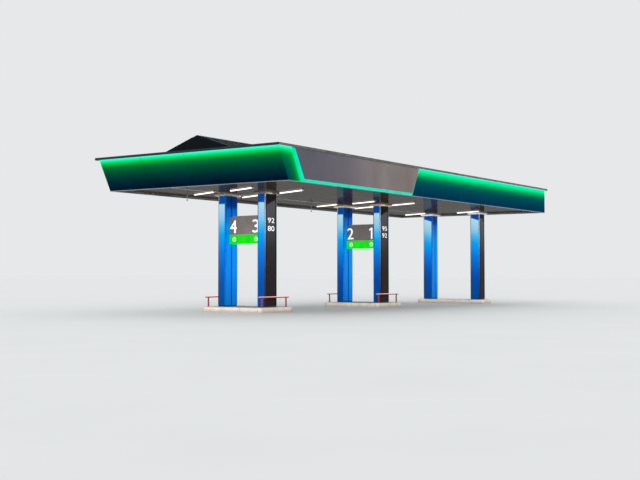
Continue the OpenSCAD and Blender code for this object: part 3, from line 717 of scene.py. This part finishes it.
def dress_frame():
    """Every piece of the frame gets its own finish, several with painted light and shade."""
    for pair in ALL_PAIRS:
        blue = column_sheet(f"blue_coated_composite_{pair}", "#00539f", "#004c94", (0.24, 0.36))
        corner, following = (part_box(f"column_{pair}_{side}")[0].y for side in SIDES)
        shadow = ("Y", corner, following - corner, END_PAIR_RISE if pair == "c" else 0.0)
        dress(lamp_washed(blue, pair_middle(pair).x, LAMP_LIGHT_LANES, LAMP_LIGHT_ALONG, shadow),
              *[f"column_{pair}_{side}" for side in SIDES])
    grey = column_sheet("dark_grey_coated_composite", "#30272a", "#292123", (0.32, 0.46))
    between_pairs = pair_middle("b").x - pair_middle("a").x
    shadow = ("X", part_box("outer_panels")[0].x, between_pairs, PANEL_RISE)
    dress(lamp_washed(grey, NO_GROOVE, LAMP_LIGHT_PANEL, LAMP_LIGHT_PANEL, shadow), "outer_panels")
    # The black backing sheet shows in the reveals beside the grey panels, where it paints their
    # shade
    dress(surface("black_backing_painted_shade", "#141315", "#1b1a1b", (0.6, 0.75), 0.4), "panel_backings")
    dress(sign_composite(), "sign_panel")
    dress(fascia_cassette("front_cassettes", STRIP_LIGHT_FRONT, has_sign=True), "fascia_front")
    dress(fascia_cassette("side_cassettes", STRIP_LIGHT), "fascia_left", "fascia_back")
    dress(fascia_cassette("end_cassettes", STRIP_LIGHT_FRONT), "fascia_right")
    dress(glossy_planks(), "soffit")
    dress(bronze_collars(), "column_collars")
    dress(corner_trims(), "corner_trims")
    dress(extruded_aluminium("mill_finish_edges", "#9c9c98", "#8c8c88", (0.28, 0.42), (0.02, 1, 1)),
          "soffit_edge", "board_caps")
    dress(surface("white_joint_cover", "#f4f1e8", "#e8e4da", (0.4, 0.5), 0.3), "soffit_strip")
    dress(painted_steel("matt_plinth_paint", "#2a2b2d", "#242527", "#3f3c38", (0.45, 0.6), 0.0),
          "column_plinths")
    dress(painted_steel("grey_primer", "#6d7276", "#666b6f", "#5b5f62", (0.5, 0.65), 0.0),
          "cross_beams", "edge_beams", "roof_frames", "post_heads")
    red = painted_steel("red_gloss_paint", "#981d11", "#8c1a0f", "#5e180f", (0.22, 0.4), 0.1)
    dress(lit_from_above(red, "#ffd8cc"),
          *[f"guard_rail_{pair}_{side}" for pair in NUMBERED_PAIRS for side in SIDES])
    dress(cast_concrete("floated_concrete", "#d6cdbe", "#b8afa2", "#8c8478", "#756f66"),
          "island_slabs")
    dress(cast_concrete("kerb_concrete", "#bab6a9", "#9f9b8e", "#6a665b", "#55524b"),
          *[f"island_kerb_{pair}" for pair in ALL_PAIRS])
    dress(surface("grey_film_on_opal", "#9a908b", "#897f7a", (0.24, 0.34), 0.5,
                  sockets={"IOR": 1.49, "Specular IOR Level": 0.2}), "number_boards")
    dress(lit_acrylic("green_lit_acrylic", "#033a05", "#06ea04", "#04da04", 1.0, gleam=0.1),
          "green_bands")
    dress(lit_acrylic("edge_lit_acrylic", "#022a24", "#00e6c4", "#00dcae", 1.0, gleam=0.05),
          "sign_light_box")
    dress(strip_diffuser(), "light_line")
    dress(lit_acrylic("lamp_opal", "#e8e4dc", "#fff6ea", "#fff1e0", 1.8), "lamp_lenses")
    dress(surface("white_powder_coat", "#d8d8d5", "#cfcfcb", (0.3, 0.42), 0.1,
                  relief=(0.004, 0.0002)), "soffit_lamps")
    dress(surface("moulded_grey_plastic", "#cfd4d4", "#c2c7c8", (0.4, 0.5), 0.05,
                  relief=(0.003, 0.0002)), "soffit_sensors")
    dress(coping_sheet(), "coping")
    dress(roof_sheet(), "roof_sheet_front", "roof_sheet_back", "ridge_cap")
    dress(surface("slate_coated_gable", "#060f16", "#050b11", (0.42, 0.56), 0.5,
                  sockets={"Specular IOR Level": 0.06}), "gable_ends")
    dress(galvanised_sheet(), "gutters")


# Pieces made here

def stones_round(low, high):
    """Kerb stones round one island, each a list of (outer, inner) plan points."""
    middle = (low + high) / 2
    half = ((high.x - low.x) / 2, (high.y - low.y) / 2)
    corners = []
    for number, (sx, sy) in enumerate(((1, 1), (-1, 1), (-1, -1), (1, -1))):
        stone = []
        for k in range(CORNER_STEPS + 1):
            angle = math.radians(90 * (number + k / CORNER_STEPS))
            ray = Vector((math.cos(angle), math.sin(angle)))
            ends = []
            for inset, radius in ((0.0, KERB_RADIUS), (KERB_WIDTH, SLAB_RADIUS)):
                pivot = Vector((sx * (half[0] - inset - radius), sy * (half[1] - inset - radius)))
                ends.append(middle.xy + pivot + radius * ray)
            stone.append(tuple(ends))
        corners.append(stone)
    stones = []
    for number in range(4):
        stones.append(corners[number])
        start, end = corners[number][-1], corners[(number + 1) % 4][0]
        length = (end[0] - start[0]).length
        count = max(1, round(length / STONE_LENGTH))
        joint = MORTAR_GAP / length
        for k in range(count):
            shares = (k / count + joint, (k + 1) / count - (joint if k == count - 1 else 0.0))
            stones.append([tuple(start[i].lerp(end[i], share) for i in (0, 1)) for share in shares])
    return stones


def sweep_kerb(builder, stone, height, inset):
    """Carries the kerb's section along a stone's plan points."""
    arc = NOSE_ARC_SHARE * KERB_NOSE
    profile = [(inset, 0.0), (inset, height - KERB_NOSE), (inset + arc, height - arc),
               (inset + KERB_NOSE, height), (KERB_WIDTH - inset, height), (KERB_WIDTH - inset, 0.0)]
    sections = []
    for outer, inner in stone:
        across = (inner - outer) / KERB_WIDTH
        sections.append([builder.verts.new((*(outer + across * offset), level))
                         for offset, level in profile])
    for before, after in zip(sections, sections[1:]):
        for k in range(len(profile)):
            builder.faces.new((before[k], after[k], after[k - 1], before[k - 1]))
    builder.faces.new(sections[0])
    builder.faces.new(list(reversed(sections[-1])))
    bmesh.ops.recalc_face_normals(builder, faces=builder.faces)


def make_kerbs():
    """Round-nosed kerb stones with mortar joints round each island."""
    stone_finish = cast_concrete("kerb_stone_concrete", "#f6ece0", "#e0d6c8", "#94877a", "#746c61")
    mortar_finish = cast_concrete("kerb_mortar", "#77736a", "#615e56", "#45433c", "#45433c")
    for pair in ALL_PAIRS:
        low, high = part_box(f"island_kerb_{pair}")
        height = high.z - low.z
        stones = stones_round(low, high)
        builder = bmesh.new()
        for stone in stones:
            sweep_kerb(builder, stone, height, 0.0)
        piece(f"kerb_stones_{pair}", builder, stone_finish,
              [f"island_kerb_{pair}"])
        builder = bmesh.new()
        for stone, following in zip(stones, stones[1:] + stones[:1]):
            sweep_kerb(builder, [stone[-1], following[0]], height - MORTAR_SUNK, MORTAR_SUNK)
        piece(f"kerb_mortar_{pair}", builder, mortar_finish)


def drop_outline():
    """A plain drop: a round foot drawn up to a point."""
    points = []
    for k in range(DROP_POINTS):
        angle = 2 * math.pi * k / DROP_POINTS
        narrow = math.sin(angle / 2) ** DROP_SHARPNESS
        points.append((DROP_WIDTH_SHARE * DROP_HEIGHT * narrow * math.sin(angle),
                       0.5 * DROP_HEIGHT * math.cos(angle)))
    return points


def make_board_faces():
    """Lit figures on both faces of the number boards, over a plain drop mark in the green band, in
    a slim aluminium frame.
    """
    white = lit_acrylic("white_lit_figure", "#d9d9d6", "#f6f4f2", "#ecebe9", 0.9)
    pale = lit_acrylic("pale_green_lit_disc", "#a4c8a2", "#d2ffce", "#c0f4bc", 0.9)
    green = lit_acrylic("green_drop_mark", "#043f06", "#14b41a", "#10a616", 0.9)
    edge = extruded_aluminium("board_frame_aluminium", "#c3c3c0", "#b2b2ae", (0.28, 0.4),
                              (1, 1, 0.02))
    board_low, board_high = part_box("number_boards")
    edge_half, board_half = FRAME_WIDTH / 2, (board_high.z - board_low.z) / 2
    strip = [(x * edge_half, y * board_half) for x, y in ((-1, -1), (1, -1), (1, 1), (-1, 1))]
    band_low, band_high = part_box("green_bands")
    half_thick = pair_middle("a").x - board_low.x
    for pair in NUMBERED_PAIRS:
        middle = pair_middle(pair)
        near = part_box(f"column_{pair}_front")[1].y
        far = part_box(f"column_{pair}_back")[0].y
        figures, discs, drops, frames = bmesh.new(), bmesh.new(), bmesh.new(), bmesh.new()
        for side in (-1, 1):
            turn = facing((side, 0, 0))
            x = middle.x + side * half_thick
            for digit, place in zip(DIGITS[pair], DIGIT_PLACES):
                spot = (x, middle.y + place, DIGIT_FOOT + DIGIT_HEIGHT / 2)
                if digit == "1":
                    figure_one(figures, DIGIT_HEIGHT, DIGIT_DEPTH, turn, spot)
                else:
                    lettering(figures, digit, DIGIT_HEIGHT, DIGIT_WIDTH, DIGIT_DEPTH, turn, spot)
            for place in MARK_PLACES:
                mark = Vector((x, middle.y + place, (band_low.z + band_high.z) / 2))
                prism(discs, circle(MARK_RADIUS, MARK_POINTS), turn, mark,
                      [(0.0, 1.0), (FILM, 1.0)])
                prism(drops, drop_outline(), turn, mark, [(FILM, 1.0), (2 * FILM, 1.0)])
            for y in (near + edge_half, far - edge_half):
                prism(frames, strip, turn, (x, y, board_low.z + board_half),
                      [(0.0, 1.0), (FRAME_THICKNESS, 1.0)])
        piece(f"board_figures_{pair}", figures, white)
        piece(f"mark_discs_{pair}", discs, pale)
        piece(f"drop_marks_{pair}", drops, green)
        piece(f"board_frame_{pair}", frames, edge)


def outer_face(pair, side):
    """Lowest and highest corner of a column's casing, and the Y of the panel on its outer side."""
    low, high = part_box(f"column_{pair}_{side}")
    return low, high, low.y - PANEL_PROUD if side == "front" else high.y + PANEL_PROUD


def make_grades():
    """White cut film on the outer panels of the numbered pairs: two grades, one above the other."""
    # The cut film is no lamp: its glow is painted light, which keeps it bright white
    white = lit_acrylic("white_cut_film_painted_glow", "#f2f1ee", "#e6e4e0", "#d8d6d2", 1.0)
    for pair in NUMBERED_PAIRS:
        builder = bmesh.new()
        for side, way in SIDES.items():
            low, high, y = outer_face(pair, side)
            for line, text in enumerate(GRADES[pair]):
                z = GRADE_TOP - GRADE_HEIGHT / 2 - line * GRADE_LINE
                lettering(builder, text, GRADE_HEIGHT, GRADE_WIDTH, FILM, facing((0, way, 0)),
                          ((low.x + high.x) / 2, y, z))
        piece(f"grade_figures_{pair}", builder, white)


def make_fixings():
    """Small heads: rivets down the outer panels, screws round the sign and along the ridge cap."""
    steel = surface("stainless_heads", "#b9bcc0", "#a9acb0", (0.24, 0.36), 0.01,
                    sockets={"Metallic": 1.0})
    builder = bmesh.new()
    for pair in ALL_PAIRS:
        for side, way in SIDES.items():
            low, high, y = outer_face(pair, side)
            for x in (low.x + RIVET_INSET, high.x - RIVET_INSET):
                for z in spread_out(low.z + RIVET_FOOT, high.z - RIVET_TOP, RIVET_SPACING):
                    round_head(builder, (x, y, z), (0, way, 0))
    piece("panel_rivets", builder, steel)
    builder = bmesh.new()
    low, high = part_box("sign_panel")
    for z, lean in ((low.z + SIGN_SCREW_INSET, SIGN_LEAN), (high.z - SIGN_SCREW_INSET, 0.0)):
        inset = lean + SIGN_SCREW_END
        for x in spread_out(low.x + inset, high.x - inset, SIGN_SCREW_SPACING):
            round_head(builder, (x, low.y, z), (0, -1, 0))
    piece("sign_screws", builder, steel)
    builder = bmesh.new()
    low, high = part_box("ridge_cap")
    pitch = math.atan2(high.z - low.z - CAP_SHEET, high.y)
    for way in (-1, 1):
        y = way * (high.y - CAP_SCREW_INSET)
        z = high.z - abs(y) * math.tan(pitch)
        for x in spread_out(low.x + CAP_SCREW_END, high.x - CAP_SCREW_END, CAP_SCREW_SPACING):
            round_head(builder, (x, y, z), (0, way * math.sin(pitch), math.cos(pitch)))
    piece("ridge_screws", builder, steel)


def make_rail_bolts():
    """Four hexagon bolts on each foot of the guard rails."""
    zinc = surface("zinc_plated_bolts", "#a9a9a2", "#98968c", (0.3, 0.45), 0.01,
                   sockets={"Metallic": 1.0})
    builder = bmesh.new()
    bolt_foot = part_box("island_slabs")[1].z + FOOT_PLATE
    upright = facing((0, 0, 1), (0, 1, 0))
    for pair in NUMBERED_PAIRS:
        for side in SIDES:
            low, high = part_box(f"guard_rail_{pair}_{side}")
            middle = (low + high) / 2
            for sx in (-1, 1):
                for x, y in circle(BOLT_CIRCLE, BOLTS_A_PLATE):
                    spot = (middle.x + sx * RAIL_POST + x, middle.y + y, bolt_foot)
                    prism(builder, circle(BOLT_RADIUS, BOLT_SIDES), upright, spot,
                          [(share * BOLT_HEIGHT, width) for share, width in BOLT_DOME])
    piece("rail_bolts", builder, zinc)


make_camera()
make_floor()
make_light()
dress_frame()
make_kerbs()
make_board_faces()
make_grades()
make_fixings()
make_rail_bolts()
